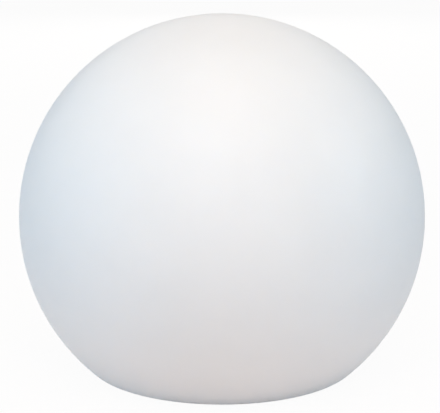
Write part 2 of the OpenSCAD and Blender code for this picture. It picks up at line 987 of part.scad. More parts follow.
module clamp_screws() {
    color("#b9bcc0")
        for (x = [-clamp_x, clamp_x], y = [-post_y, post_y])
            translate([x, y, clamp_z + clamp_t])
                screw_down(clamp_screw_d, clamp_screw_l);
}

module protection_board() {
    color("#1f6b43")
        translate([guard_x, -guard_w / 2, tray_z + tray_t])
            cube([guard_t, guard_w, guard_h]);
}

// Leads

// A wire that rises from the origin and turns level along +X
module riser(rise, reach) {
    cylinder(r = wire_r, h = rise - wire_bend);
    translate([wire_bend, 0, rise - wire_bend])
        rotate([90, 0, 180])
            rotate_extrude(angle = 90)
                translate([wire_bend, 0])
                    circle(wire_r);
    translate([wire_bend, 0, rise])
        rotate([0, 90, 0])
            cylinder(r = wire_r, h = reach - wire_bend);
}

module wire_pair() {
    for (y = [-wire_gap / 2, wire_gap / 2])
        translate([0, y, 0])
            children();
}

module battery_lead() {
    color("#b3261e")
        translate([board_mid_r, 0, board_top + header_h])
            rotate([0, 0, 180])
                wire_pair()
                    riser(tray_z + tray_t + guard_h / 2 - board_top - header_h,
                        board_mid_r - guard_x - guard_t);
}

module light_lead() {
    color("#33363a")
        translate([-board_mid_r, 0, board_top + header_h])
            wire_pair()
                riser(light_board_top + wire_r - board_top - header_h,
                    board_mid_r - light_board_r + light_lead_lap);
}

// A wire that rises, runs level along +X and comes down again
module bridge(rise, drop, reach) {
    riser(rise, reach - wire_bend);
    translate([reach - wire_bend, 0, rise - wire_bend])
        rotate([90, 0, 0])
            rotate_extrude(angle = 90)
                translate([wire_bend, 0])
                    circle(wire_r);
    translate([reach, 0, rise - drop])
        cylinder(r = wire_r, h = drop - wire_bend);
}

module charge_lead() {
    header_x = board_mid_r * cos(charge_header_angle);
    header_y = board_mid_r * sin(charge_header_angle);
    low_z = port_top + jack_tail;
    rise = wire_bend + cut;
    drop = low_z + rise - board_top - charge_header_h;
    color("#33363a")
        translate([0, jack_pos.y, low_z])
            rotate([0, 0, atan2(header_y - jack_pos.y, header_x)])
                wire_pair()
                    bridge(rise, drop, norm([header_x, header_y - jack_pos.y]));
}

// Light engine

module heat_spreader() {
    color("#b4b8bc")
        difference() {
            bore(2 * spigot_r, spreader_z, spreader_z + spreader_t);
            around(pillar_count, spreader_screw_r, pillar_turn)
                bore(spreader_screw_d + 2 * slide_gap, spreader_z - cut, spreader_z + spreader_t + cut);
            around(light_screw_count, light_screw_r)
                bore(light_screw_d + 2 * thread_gap, spreader_z - cut, spreader_z + spreader_t + cut);
            translate([-board_mid_r, 0, 0])
                bore(2 * wire_hole_r, spreader_z - cut, spreader_z + spreader_t + cut);
        }
}

module spreader_screws() {
    color("#b9bcc0")
        around(pillar_count, spreader_screw_r, pillar_turn)
            translate([0, 0, spreader_z + spreader_t])
                screw_down(spreader_screw_d, spreader_screw_l);
}

module light_disc(r, z_low, z_high) {
    difference() {
        bore(2 * r, z_low, z_high);
        around(light_screw_count, light_screw_r)
            bore(light_screw_d + 2 * slide_gap, z_low - cut, z_high + cut);
    }
}

module thermal_pad() {
    color("#9aa7b5")
        light_disc(light_board_r - cut, spreader_z + spreader_t, light_board_z);
}

module light_board() {
    color("#f3f3f0")
        light_disc(light_board_r, light_board_z, light_board_top);
}

module emitter() {
    translate([-emitter_l / 2, -emitter_w / 2, light_board_top])
        cube([emitter_l, emitter_w, emitter_h]);
}

module emitters() {
    inner_count = floor(emitter_count / 2);
    color("#f2d66b") {
        around(emitter_count, emitter_ring_r)
            emitter();
        around(inner_count, emitter_ring_r / 2)
            emitter();
    }
}

module light_board_screws() {
    color("#b9bcc0")
        around(light_screw_count, light_screw_r)
            translate([0, 0, light_board_top])
                screw_down(light_screw_d, light_screw_l);
}

module dome_profile() {
    intersection() {
        difference() {
            translate([0, dome_centre_z])
                circle(dome_r);
            translate([0, dome_centre_z])
                circle(dome_r - dome_t);
        }
        translate([0, housing_top + lip_h - dome_step])
            square([dome_r, dome_h + cut]);
    }
    translate([spigot_r - skirt_t, housing_top])
        square([collar_r - spigot_r + skirt_t, lip_h]);
    translate([spigot_r - skirt_t, skirt_z])
        square([skirt_t, housing_top - skirt_z]);
}

module diffuser_dome() {
    color("#f7f6f1")
        difference() {
            rotate_extrude()
                dome_profile();
            ring(spigot_r - small_o_ring_d + thread_gap, spigot_r + cut,
                dome_ring_z - small_o_ring_d / 2, dome_ring_z + small_o_ring_d / 2);
            around(pillar_count, 0)
                translate([spigot_r - 2 * skirt_t, 0, dome_screw_z])
                    rotate([0, 90, 0])
                        cylinder(d = dome_screw_d + 2 * thread_gap, h = 3 * skirt_t);
        }
}

module dome_o_ring() {
    color("#232426")
        o_ring(spigot_r + slide_gap / 2 - small_o_ring_d / 2, small_o_ring_d, dome_ring_z);
}

module dome_screws() {
    grip = 0.2;
    color("#b9bcc0")
        around(pillar_count, 0)
            translate([collar_r - grip, 0, dome_screw_z])
                rotate([0, -90, 0])
                    cylinder(d = dome_screw_d, h = dome_screw_l);
}

globe_shell();
threaded_inserts();
seat_gasket();
lock_ring();
lock_ring_screws();
rubber_feet();
base_plate();
collar_o_ring();
power_switch();
charging_jack();
jack_contact();
jack_nut();
indicator_light_pipe();
vent_plug();
cover_hinge_pin();
control_board();
control_chips();
power_inductor();
board_capacitors();
wire_headers();
board_screws();
inner_housing();
housing_o_ring();
housing_screws();
battery_tray();
tray_screws();
battery_cells();
cell_links();
clamp_foam();
battery_clamps();
clamp_screws();
protection_board();
battery_lead();
charge_lead();
light_lead();
heat_spreader();
spreader_screws();
thermal_pad();
light_board();
emitters();
light_board_screws();
dome_o_ring();
diffuser_dome();
dome_screws();
power_button();
button_o_ring();
switch_plunger();
port_cover();
port_cover_seal();
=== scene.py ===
# %% [markdown]
# A cordless globe lamp for the garden
#
# The lamp is a hollow ball of milky polyethylene, 40 cm across, that stands on a flattened
# underside. Seen from above it is one smooth satin surface, so the likeness depends on three
# things: the exact outline, the finish of the plastic and the way soft light falls off round it.
# Turned over, it shows a recess with the base module: a plate with two finger wells, a push
# button, a hinged charging cover, screws and rubber feet. All of that is finished too.
#
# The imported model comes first, as a fixed frame. Everything is in metres, in the same place as the
# construction model, and its box is kept, because the looks may not make the lamp any bigger.

# %% Load the frame
import json
import math
import bpy
from mathutils import Matrix, Vector


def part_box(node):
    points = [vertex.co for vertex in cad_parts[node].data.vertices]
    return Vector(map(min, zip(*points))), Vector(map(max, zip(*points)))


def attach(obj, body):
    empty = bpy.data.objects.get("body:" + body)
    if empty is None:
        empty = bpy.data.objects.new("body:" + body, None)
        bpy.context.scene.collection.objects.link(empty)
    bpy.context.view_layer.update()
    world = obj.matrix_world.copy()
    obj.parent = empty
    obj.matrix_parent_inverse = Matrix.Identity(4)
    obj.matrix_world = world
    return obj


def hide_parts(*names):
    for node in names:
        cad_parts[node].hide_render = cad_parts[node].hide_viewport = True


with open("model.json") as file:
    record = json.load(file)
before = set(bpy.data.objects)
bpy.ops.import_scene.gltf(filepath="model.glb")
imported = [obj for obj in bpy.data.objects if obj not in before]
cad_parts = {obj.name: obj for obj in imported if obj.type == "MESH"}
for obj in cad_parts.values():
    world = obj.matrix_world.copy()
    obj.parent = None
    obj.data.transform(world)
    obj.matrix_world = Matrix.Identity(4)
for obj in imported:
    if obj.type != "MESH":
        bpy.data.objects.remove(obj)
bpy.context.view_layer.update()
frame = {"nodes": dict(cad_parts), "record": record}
nodes = frame["nodes"]
MM = 0.001

# %% [markdown]
# The ball's radius and centre could be typed in again, but reading them off its node keeps the two
# models the same when a size changes. The construction model's ball is a fine polyhedron, so the
# smallest of its four reaches is taken, and nothing stands out of its box.

# %% The ball's size
globe_low, globe_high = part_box("globe_shell")
globe_r = min(-globe_low.x, -globe_low.y, globe_high.x, globe_high.y)
centre = Vector((0.0, 0.0, globe_high.z - globe_r))
print("ball radius", round(globe_r, 5), "centre", tuple(round(c, 5) for c in centre))

# %% [markdown]
# The camera stands two metres away and looks down on the ball by fourteen and a half degrees. A long
# lens gives the near-parallel view of a catalogue picture. The view could be framed by shifting the
# lens, but turning the camera is what a photographer does: it aims a little above and to the left of
# the ball's centre, which puts the ball where the photograph has it.

# %% Camera
FRAME_WIDE, FRAME_TALL = 440, 413
BALL_AT = (222.0, 216.15)
VIEW_DISTANCE = 2.0
VIEW_ELEVATION = math.radians(14.5)
SENSOR, LENS = 36.0, 165.3
pixel_angle = SENSOR / (LENS * FRAME_WIDE)

back = Vector((0, -math.cos(VIEW_ELEVATION), math.sin(VIEW_ELEVATION)))
camera_data = bpy.data.cameras.new("camera")
camera_data.lens = LENS
camera_data.sensor_width = SENSOR
camera = bpy.data.objects.new("camera", camera_data)
bpy.context.scene.collection.objects.link(camera)
camera.location = centre + back * VIEW_DISTANCE
turn_left = (BALL_AT[0] - FRAME_WIDE / 2) * pixel_angle
turn_up = (BALL_AT[1] - FRAME_TALL / 2) * pixel_angle
aim = (-back).to_track_quat("-Z", "Y").to_matrix()
aim = aim @ Matrix.Rotation(turn_up, 3, "X") @ Matrix.Rotation(turn_left, 3, "Y")
camera.rotation_mode = "QUATERNION"
camera.rotation_quaternion = aim.to_quaternion()
bpy.context.scene.camera = camera
bpy.context.scene.view_settings.view_transform = "Standard"
print("a pixel is", round(VIEW_DISTANCE * pixel_angle / MM, 3), "mm at the ball")

# %% [markdown]
# A real surface is never one flat colour, so most finishes here wander between a darker and a
# lighter shade of their tone. Two colours could be picked by eye, but multiplying one tone keeps its
# hue. The fourth number of a colour says how solid it is, and it stays at 1.

# %% Colours
def colour(red, green, blue):
    return (red, green, blue, 1.0)


def shade(tone, factor):
    """A colour made darker or lighter by a factor."""
    return colour(*(min(1.0, c * factor) for c in tone))


print("half of white is", shade((1.0, 1.0, 1.0), 0.5))

# %% [markdown]
# A finish could be wired by hand, node by node, but it is easier to read as arithmetic. A small class
# wraps a socket, so that `a * 0.5 + b` adds its Math nodes by itself, and every other node comes from
# one method. Colours go through Mix nodes, because a Math node would turn them grey.

# %% Shader arithmetic
SOFT_LOW, SOFT_HIGH = 0.3, 0.7


class Socket:
    """A socket of a node tree that can be added, multiplied and mixed."""

    def __init__(self, tree, socket=None):
        self.tree = tree
        self.socket = socket

    def node(self, kind, inputs=(), output=0, stops=(), **settings):
        """Any other node: its settings first, then the values or links of its sockets."""
        made = self.tree.nodes.new(kind)
        for name, value in settings.items():
            setattr(made, name, value)
        for place, _ in stops[1:-1]:
            made.color_ramp.elements.new(place)
        for step, (_, tone) in enumerate(stops):
            made.color_ramp.elements[step].color = tone
        for name, value in dict(inputs).items():
            if isinstance(value, Socket):
                self.tree.links.new(value.socket, made.inputs[name])
            else:
                made.inputs[name].default_value = value
        return Socket(self.tree, made.outputs[output] if len(made.outputs) else None)

    def beside(self, output):
        """Another output of the same node."""
        return Socket(self.tree, self.socket.node.outputs[output])

    def maths(self, operation, *values):
        return self.node("ShaderNodeMath", enumerate(values), operation=operation)

    def __add__(self, other):
        return self.maths("ADD", self, other)

    __radd__ = __add__

    def __mul__(self, other):
        return self.maths("MULTIPLY", self, other)

    __rmul__ = __mul__

    def __sub__(self, other):
        return self.maths("SUBTRACT", self, other)

    def __rsub__(self, other):
        return self.maths("SUBTRACT", other, self)

    def higher(self, other):
        return self.maths("MAXIMUM", self, other)

    def size(self):
        """The number without its sign."""
        return self.maths("ABSOLUTE", self)

    def part(self, axis):
        """One coordinate: 0 is X, 1 is Y and 2 is Z."""
        return self.node("ShaderNodeSeparateXYZ", {0: self}, output=axis)

    def stretched(self, x, y, z):
        return self.node("ShaderNodeMapping", {"Vector": self, "Scale": (x, y, z)})

    def noise(self, scale, detail=2.0, roughness=0.5):
        """Soft noise around 0.5, with this place as its coordinate."""
        inputs = {"Vector": self, "Scale": scale, "Detail": detail, "Roughness": roughness}
        return self.node("ShaderNodeTexNoise", inputs)

    def cells(self, scale):
        """Distance to the nearest of many scattered points."""
        return self.node("ShaderNodeTexVoronoi", {"Vector": self, "Scale": scale})

    def bands(self, low, high):
        """0 below low, 1 above high and a smooth step between them."""
        inputs = {"Value": self, "From Min": low, "From Max": high}
        return self.node("ShaderNodeMapRange", inputs, interpolation_type="SMOOTHSTEP")

    def blend(self, first, second):
        """The first colour where this mask is 0 and the second where it is 1."""
        inputs = {0: self, 6: first, 7: second}
        return self.node("ShaderNodeMix", inputs, output=2, data_type="RGBA")

    def mottled(self, tone, dark, light):
        """A tone that wanders between two shades of itself, as this noise does."""
        return self.bands(SOFT_LOW, SOFT_HIGH).blend(shade(tone, dark), shade(tone, light))

    def ramp(self, stops):
        """A colour for each place between 0 and 1, given as (place, colour)."""
        return self.node("ShaderNodeValToRGB", {0: self}, stops=stops)

    def bump(self, distance, strength):
        inputs = {"Height": self, "Distance": distance, "Strength": strength}
        return self.node("ShaderNodeBump", inputs)


print("shader arithmetic ready")

# %% [markdown]
# Every finish starts in the same way: a Principled shader, its constants, and the place on the
# object. A colour or number that is the same all over a surface is set on the shader's own socket,
# and only what changes over the surface is linked. Object coordinates make a pattern keep its real
# size on every piece, which a stretched picture wouldn't.

# %% A new material
def new_material(name, **constants):
    """A Principled material, the place on the object as a socket, and the shader node."""
    material = bpy.data.materials.new(name)
    material.use_nodes = True
    tree = material.node_tree
    shader = tree.nodes["Principled BSDF"]
    for socket, value in constants.items():
        shader.inputs[socket.replace("_", " ")].default_value = value
    return material, Socket(tree).node("ShaderNodeTexCoord", output="Object"), shader


def feed(shader, name, value):
    """Links what changes over the surface to a socket of the shader."""
    value.tree.links.new(value.socket, shader.inputs[name])


print("material helpers ready")

# %% [markdown]
# Each part of the lamp names a slot in the record, and a slot stands for one real material. The
# colours could be chosen afresh here, but the finishes start from the record's own, so that the
# construction model and the picture can't drift apart.

# %% Slots and their colours
tone_of = {m["slot"]: tuple(m["base_color"][:3]) for m in frame["record"]["materials"]}
slot_of = {s["node"]: s["material_slot"] for s in frame["record"]["subparts"]}
finish = {}
print(len(tone_of), "slots for", len(slot_of), "nodes")

# %% [markdown]
# The globe's plastic is rotationally moulded: powder melts against the inside of a spinning mould,
# which leaves a satin skin with a faint waviness, as on an orange. It is nearly white and barely
# warm. The skin could be left smooth, but then every lamp would draw a clean disc on it. Two scales
# of bump carry the grain, and the roughness wanders a little with the coarse one. A trace of light
# travels under the skin. The dome over the emitters is the same kind of plastic, only smoother.

# %% The globe's plastic
CLOUDS, RIPPLES, GRAINS = 9.0, 60.0, 700.0


def milky_plastic(name, tone, rough, ripple_depth):
    material, place, shader = new_material(
        name, IOR=1.5, Specular_IOR_Level=0.25, Subsurface_Weight=0.12,
        Subsurface_Scale=4 * MM, Subsurface_Radius=(1.0, 0.9, 0.75))
    cloud = place.noise(CLOUDS, detail=3.0)
    grain = place.noise(GRAINS)
    ripple = place.noise(RIPPLES)
    feed(shader, "Base Color", cloud.bands(0.35, 0.65).blend(shade(tone, 0.98), shade(tone, 1.0)))
    feed(shader, "Roughness", ripple * 0.08 + (rough - 0.04))
    feed(shader, "Normal", (grain * 0.3 + ripple).bump(ripple_depth, 0.35))
    return material


finish["opal_globe"] = milky_plastic("milky_polyethylene", (0.90, 0.897, 0.89), 0.46, 0.12 * MM)
finish["opal_dome"] = milky_plastic("dome_acrylic", (0.92, 0.91, 0.88), 0.38, 0.04 * MM)
print("milky plastics:", sorted(finish))

# %% [markdown]
# The hard plastics of the base module are injection moulded in a spark-eroded mould, which gives a
# fine matt grain. Their colour hardly varies, but the grain breaks up the gloss. Handling polishes
# the high spots a little, so the roughness follows a slow noise. A modelled grain would take millions
# of faces, so a bump does it.

# %% Moulded plastics
GRAIN_SIZE, GRAIN_DEPTH = 0.6 * MM, 0.09 * MM
MOULDED = {
    "pale_plastic": 0.5, "grey_white_plastic": 0.52, "housing_plastic": 0.5, "button_plastic": 0.42,
    "cover_plastic": 0.45, "dark_grey_plastic": 0.6, "black_plastic": 0.5, "ivory_plastic": 0.5,
    "red_wire": 0.45, "black_wire": 0.5}


def moulded_plastic(name, tone, rough):
    material, place, shader = new_material(name, IOR=1.48)
    slow = place.noise(35.0, detail=4.0)
    grain = place.noise(1 / GRAIN_SIZE, detail=3.0, roughness=0.6)
    tones = slow.mottled(tone, 0.94, 1.03)
    feed(shader, "Base Color", (grain.bands(0.25, 0.75) * 0.35).blend(tones, shade(tone, 0.85)))
    feed(shader, "Roughness", slow * 0.14 + grain * 0.1 + (rough - 0.12))
    feed(shader, "Normal", grain.bump(GRAIN_DEPTH, 0.6))
    return material


for slot, rough in MOULDED.items():
    finish[slot] = moulded_plastic(slot, tone_of[slot], rough)
print(len(MOULDED), "moulded plastics")

# %% [markdown]
# Rubber is darker and duller, with dust in its pores. Foam is the same idea at a coarse scale, with
# open cells instead of pores, and the pressed powder of a ferrite core at a fine one. Scattered
# points make better pores than soft noise does, because each pore has its own middle. A slot lists
# its roughness, the size and depth of its pores, and how much lighter dust makes it.

# %% Rubber, foam and pressed powder
POROUS = {
    "grey_rubber": (0.85, 0.7 * MM, 0.05 * MM, 1.5), "black_rubber": (0.8, 0.5 * MM, 0.03 * MM, 1.3),
    "thermal_pad": (0.75, 0.4 * MM, 0.02 * MM, 1.1), "grey_foam": (0.95, 0.9 * MM, 0.3 * MM, 1.2),
    "ferrite_core": (0.7, 0.3 * MM, 0.02 * MM, 1.2)}


def porous(name, tone, rough, pore_size, pore_depth, dust):
    material, place, shader = new_material(name)
    slow = place.noise(50.0, detail=4.0)
    pores = place.cells(1 / pore_size)
    worn = slow.bands(0.45, 0.75).blend(shade(tone, 0.85), shade(tone, dust))
    feed(shader, "Base Color", (pores.bands(0.1, 0.5) * 0.5).blend(worn, shade(tone, 0.6)))
    feed(shader, "Roughness", slow * 0.12 + (rough - 0.06))
    feed(shader, "Normal", (pores + slow * 0.4).bump(pore_depth, 0.7))
    return material


for slot, sizes in POROUS.items():
    finish[slot] = porous(slot, tone_of[slot], *sizes)
print(len(POROUS), "porous finishes")

# %% [markdown]
# Turned screws and pins carry fine marks round their axis, and a sheet is brushed along its length.
# An anisotropic shader could fake that, but stretched noise also shows the marks themselves. It goes
# to the roughness more than to the height, with a few brighter scratches in the colour. A slot lists
# its roughness and how many marks there are to a metre along X, Y and Z.

# %% Metals
MARK_DEPTH = 0.004 * MM
METALS = {
    "stainless_steel": (0.32, (2400, 2400, 90)), "plated_contact": (0.22, (500, 500, 90)),
    "brass_insert": (0.35, (900, 900, 120)), "capacitor_can": (0.25, (60, 60, 900)),
    "aluminium_sheet": (0.38, (40, 1200, 1200))}


def worked_metal(name, tone, rough, marks):
    material, place, shader = new_material(name, Metallic=1.0)
    drawn = place.stretched(*marks).noise(1.0, detail=3.0)
    slow = place.noise(80.0, detail=3.0)
    tones = slow.mottled(tone, 0.92, 1.05)
    feed(shader, "Base Color", (drawn.bands(0.55, 0.8) * 0.3).blend(tones, shade(tone, 1.15)))
    feed(shader, "Roughness", drawn * 0.14 + slow * 0.06 + (rough - 0.1))
    feed(shader, "Normal", drawn.bump(MARK_DEPTH, 0.4))
    return material


for slot, (rough, marks) in METALS.items():
    finish[slot] = worked_metal(slot, tone_of[slot], rough, marks)
print(len(METALS), "metals")

# %% [markdown]
# A circuit board has copper tracks under a thin lacquer. They could be drawn one by one, but hardly
# any of the boards shows, so noise that is stretched along X or Y and cut at one level draws
# track-like bands, and the bump lets them stand up a few hundredths of a millimetre. The light board
# has the same tracks, wider, under white lacquer.

# %% Circuit boards
TRACK_RISE = 0.04 * MM
TRACK_STRETCH = 0.08


def tracked_board(name, lacquer, track, track_size):
    material, place, shader = new_material(name, Coat_Weight=0.4, Coat_Roughness=0.2)
    wide, narrow = TRACK_STRETCH / track_size, 1 / track_size
    along = place.stretched(narrow, wide, 1.0).noise(1.0, detail=0.0).bands(0.54, 0.57)
    across = place.stretched(wide, narrow, 1.0).noise(1.0, detail=0.0).bands(0.56, 0.59)
    tracks = along.higher(across)
    mottle = place.noise(400.0, detail=3.0)
    ground = mottle.mottled(lacquer, 0.9, 1.08)
    feed(shader, "Base Color", tracks.blend(ground, colour(*track)))
    feed(shader, "Roughness", mottle * 0.15 + 0.3)
    feed(shader, "Normal", (tracks + mottle * 0.1).bump(TRACK_RISE, 0.7))
    return material


for slot, track, track_size in (("circuit_board", (0.04, 0.3, 0.12), 1.1 * MM),
                                ("white_board", (0.78, 0.77, 0.74), 5 * MM)):
    finish[slot] = tracked_board(slot, tone_of[slot], track, track_size)
print("boards ready")

# %% [markdown]
# The cells wear a shrink wrap with a pale ring near each end, and a wrap that shrinks round a
# cylinder puckers along its length. The ring could be a piece of its own, but it has no thickness to
# speak of, so it is a mask on the distance from the middle of the cells.

# %% Battery cells
RING_INNER, RING_OUTER, RING_FADE = 7 * MM, 4 * MM, 0.2 * MM


def cell_wrap(name, tone, half_length):
    material, place, shader = new_material(name, Coat_Weight=0.5, Coat_Roughness=0.15)
    reach = place.part(0).size()
    start = half_length - RING_INNER
    end = half_length - RING_OUTER
    ring = reach.bands(start, start + RING_FADE) - reach.bands(end, end + RING_FADE)
    shrink = place.stretched(60.0, 500.0, 500.0).noise(1.0)
    wrap = shrink.mottled(tone, 0.85, 1.15)
    feed(shader, "Base Color", ring.blend(wrap, colour(0.75, 0.76, 0.75)))
    feed(shader, "Roughness", shrink * 0.2 + 0.2)
    feed(shader, "Normal", shrink.bump(0.08 * MM, 0.5))
    return material


cells_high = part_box("battery_cells")[1]
finish["cell_wrap"] = cell_wrap("cell_wrap", tone_of["cell_wrap"], cells_high.x)
print("the cells reach", round(cells_high.x, 4))

# %% [markdown]
# An emitter is a white case filled with yellow phosphor, which shows only on its top face. The face
# could get a material of its own, but a mask on the height needs no second slot.

# %% Emitters
FACE_DEPTH, FACE_FADE = 0.15 * MM, 0.05 * MM


def phosphor(name, tone, top):
    material, place, shader = new_material(name)
    grain = place.noise(3000.0)
    face = place.part(2).bands(top - FACE_DEPTH, top - FACE_DEPTH + FACE_FADE)
    yellow = grain.mottled(tone, 0.88, 1.1)
    feed(shader, "Base Color", face.blend(colour(0.86, 0.86, 0.84), yellow))
    feed(shader, "Roughness", grain * 0.3 + 0.25)
    return material


emitters_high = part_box("emitters")[1]
finish["emitter_yellow"] = phosphor("emitter_yellow", tone_of["emitter_yellow"], emitters_high.z)
print("the emitters' faces are at", round(emitters_high.z, 4))

# %% [markdown]
# The light pipe is a short rod of clear plastic that shows the charging light through the plate. A
# glass shader would be too clean for a moulded rod, so a cloudy grain wanders through its colour and
# its roughness.

# %% Light pipe
def clear_plastic(name, tone):
    material, place, shader = new_material(name, Transmission_Weight=0.85, IOR=1.49)
    cloud = place.noise(600.0, detail=3.0)
    feed(shader, "Base Color", cloud.mottled(tone, 0.92, 1.05))
    feed(shader, "Roughness", cloud * 0.2 + 0.08)
    return material


finish["clear_plastic"] = clear_plastic("clear_plastic", tone_of["clear_plastic"])
print(len(finish), "finishes for", len(tone_of), "slots; none for", sorted(set(tone_of) - set(finish)))

# %% [markdown]
# Most parts inside the lamp are seldom seen, so they keep the shapes of the construction model and
# only get their finish. Each node takes the one of its slot.

# %% One finish per node
for name, node in nodes.items():
    if not node.data.materials:
        node.data.materials.append(None)
    for place in node.material_slots:
        place.material = finish[slot_of[name]]
print(len(nodes), "nodes have their finish")

# %% [markdown]
# The globe and the parts of the underside are made anew, and each finished piece goes through the
# same last steps: its place goes into its mesh, smooth and sharp edges are told apart by their angle,
# and it takes over from its node on its body. Broad flat faces next to thin rounded edges shade in
# streaks when all faces count alike, so the normals are weighted by the faces' areas.

# %% Helpers for finished pieces
SMOOTH_ANGLE = math.radians(35)


def start_clean():
    if bpy.context.object and bpy.context.object.mode != "OBJECT":
        bpy.ops.object.mode_set(mode="OBJECT")
    bpy.ops.object.select_all(action="DESELECT")


def take(piece):
    start_clean()
    bpy.context.view_layer.objects.active = piece
    piece.select_set(True)


def use_modifier(piece, kind, **settings):
    """Adds a modifier, applies it and leaves the piece selected alone."""
    take(piece)
    modifier = piece.modifiers.new(kind.lower(), kind)
    for name, value in settings.items():
        setattr(modifier, name, value)
    bpy.ops.object.modifier_apply(modifier=modifier.name)


def settle(piece, name, body, node):
    """Finishes a piece: its place goes into its mesh, and it replaces its node on its body."""
    take(piece)
    bpy.ops.object.transform_apply(location=True, rotation=True, scale=True)
    bpy.ops.object.shade_smooth_by_angle(angle=SMOOTH_ANGLE)
    use_modifier(piece, "WEIGHTED_NORMAL", keep_sharp=True, weight=100)
    piece.name = name
    piece.data.name = name
    piece.data.materials.clear()
    piece.data.materials.append(finish[slot_of[node]])
    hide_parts(node)
    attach(piece, body)
    print(name, len(piece.data.polygons), "faces")


print("piece helpers ready")

# %% [markdown]
# The ball could be spun from a drawn profile, but a potter's way is easier to follow: start from a
# sphere, slice its foot off, then pull the open edge on, ring after ring. Each ring is one extrusion
# that is scaled and lifted to its place, and an arc is a few rings in a row.

# %% Rings that are pulled on
def pull_ring(radius, height, now):
    """Extrudes the selected open ring to a new radius and height; returns where it stands."""
    bpy.ops.mesh.extrude_region_move()
    grow = radius / now[0]
    bpy.ops.transform.resize(value=(grow, grow, 1), center_override=(0, 0, now[1]))
    bpy.ops.transform.translate(value=(0, 0, height - now[1]))
    return radius, height


def pull_arc(middle, radius, start, end, steps, now):
    """Pulls rings round an arc about middle = (r, z), from one angle to another, in degrees."""
    for step in range(1, steps + 1):
        angle = math.radians(start + (end - start) * step / steps)
        now = pull_ring(middle[0] + radius * math.cos(angle), middle[1] + radius * math.sin(angle), now)
    return now


print("ring helpers ready")

# %% [markdown]
# A rotational mould leaves an even wall and can't fill sharp corners, so the underside has one wall
# thickness and rounded edges everywhere: a broad one from the ball to the flat, a small one into the
# recess and a fold at its top. The other sizes are read off the nodes around: the flat is the
# globe's lowest face, the recess is a little wider than the lock ring, and the seat is where the
# gasket ends.

# %% Sizes of the underside
WALL = 3.5 * MM
EDGE_R = 12 * MM
RIM_R = 3 * MM
FOLD_R = 2 * MM
MOUTH_R = 76 * MM
RECESS_ROOM = 2.5 * MM
flat_z = globe_low.z
drop = centre.z - flat_z
edge_side = math.sqrt((globe_r - EDGE_R) ** 2 - (drop - EDGE_R) ** 2)
edge_touch = math.degrees(math.atan2(-(drop - EDGE_R), edge_side))
recess_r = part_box("lock_ring")[1].x + RECESS_ROOM
seat_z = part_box("seat_gasket")[1].z
print("flat radius", round(edge_side, 4), "recess", round(recess_r, 4), "seat", round(seat_z, 4))

# %% [markdown]
# The real globe is one hollow moulding. Its surface goes from the ball round the edge, across the
# flat, up into the recess and in to the mouth, where the base module enters. The sphere is sliced
# where the edge's arc touches it, so that the two meet without a crease. The outer surface alone is
# drawn, and Solidify gives it the wall, because an inner surface drawn by hand would never keep an
# even thickness round the folds.

# %% The globe
GLOBE_SEGMENTS, GLOBE_RINGS = 192, 96
EDGE_STEPS, RIM_STEPS, FOLD_STEPS = 10, 6, 4

start_clean()
bpy.ops.mesh.primitive_uv_sphere_add(segments=GLOBE_SEGMENTS, ring_count=GLOBE_RINGS,
                                     radius=globe_r, location=centre)
globe = bpy.context.object
bpy.ops.object.transform_apply(location=True)
bpy.ops.object.mode_set(mode="EDIT")
touch = (globe_r * math.cos(math.radians(edge_touch)),
         centre.z + globe_r * math.sin(math.radians(edge_touch)))
bpy.ops.mesh.select_all(action="SELECT")
bpy.ops.mesh.bisect(plane_co=(0, 0, touch[1]), plane_no=(0, 0, 1), clear_inner=True)
bpy.ops.mesh.select_all(action="SELECT")
bpy.ops.mesh.region_to_loop()
now = pull_arc((edge_side, flat_z + EDGE_R), EDGE_R, edge_touch, -90, EDGE_STEPS, touch)
now = pull_ring((edge_side + recess_r) / 2, flat_z, now)
now = pull_ring(recess_r + RIM_R, flat_z, now)
now = pull_arc((recess_r + RIM_R, flat_z + RIM_R), RIM_R, -90, -180, RIM_STEPS, now)
now = pull_ring(recess_r, seat_z - FOLD_R, now)
now = pull_arc((recess_r - FOLD_R, seat_z - FOLD_R), FOLD_R, 0, 90, FOLD_STEPS, now)
now = pull_ring(MOUTH_R, seat_z, now)
bpy.ops.object.mode_set(mode="OBJECT")
use_modifier(globe, "SOLIDIFY", thickness=WALL, offset=-1, use_even_offset=True)
print("the globe's wall ends at the mouth", [round(c, 4) for c in now])

# %% [markdown]
# The feet sit in shallow round sockets, and the lock ring's screws bite into brass inserts, which
# sit in bosses inside. These could be inset by hand, but a ball's faces don't line up with six or
# four places round it, and a boolean doesn't mind: one adds the bosses, one drills them and one cuts
# the sockets. Each tool is a set of cylinders on a circle, joined into one mesh. Cuts leave faces
# with many sides, which can split into slivers, so the surface is cleaned afterwards.

# %% Tools for cuts
TOOL_SIDES = 48
CUT_MERGE = 0.01 * MM


def spread(count, start, radius, ring, bottom, top):
    """Cylinders on a circle, joined into one mesh."""
    start_clean()
    made = []
    for k in range(count):
        turn = math.radians(start + 360 * k / count)
        at = (ring * math.cos(turn), ring * math.sin(turn), (bottom + top) / 2)
        bpy.ops.mesh.primitive_cylinder_add(vertices=TOOL_SIDES, radius=radius, depth=top - bottom,
                                            location=at)
        made.append(bpy.context.object)
    for piece in made:
        piece.select_set(True)
    bpy.ops.object.join()
    return bpy.context.object


def combine(piece, tool, operation):
    use_modifier(piece, "BOOLEAN", object=tool, operation=operation, solver="EXACT")
    bpy.data.objects.remove(tool)


def clean_cuts(piece):
    """Merges points that nearly meet and splits the many-sided faces, so no sliver is left."""
    take(piece)
    bpy.ops.object.mode_set(mode="EDIT")
    bpy.ops.mesh.select_all(action="SELECT")
    bpy.ops.mesh.remove_doubles(threshold=CUT_MERGE)
    bpy.ops.mesh.select_mode(type="FACE")
    bpy.ops.mesh.select_face_by_sides(number=4, type="GREATER", extend=False)
    bpy.ops.mesh.quads_convert_to_tris(quad_method="BEAUTY", ngon_method="BEAUTY")
    bpy.ops.mesh.select_mode(type="VERT")
    bpy.ops.object.mode_set(mode="OBJECT")


print("cutting tools ready")

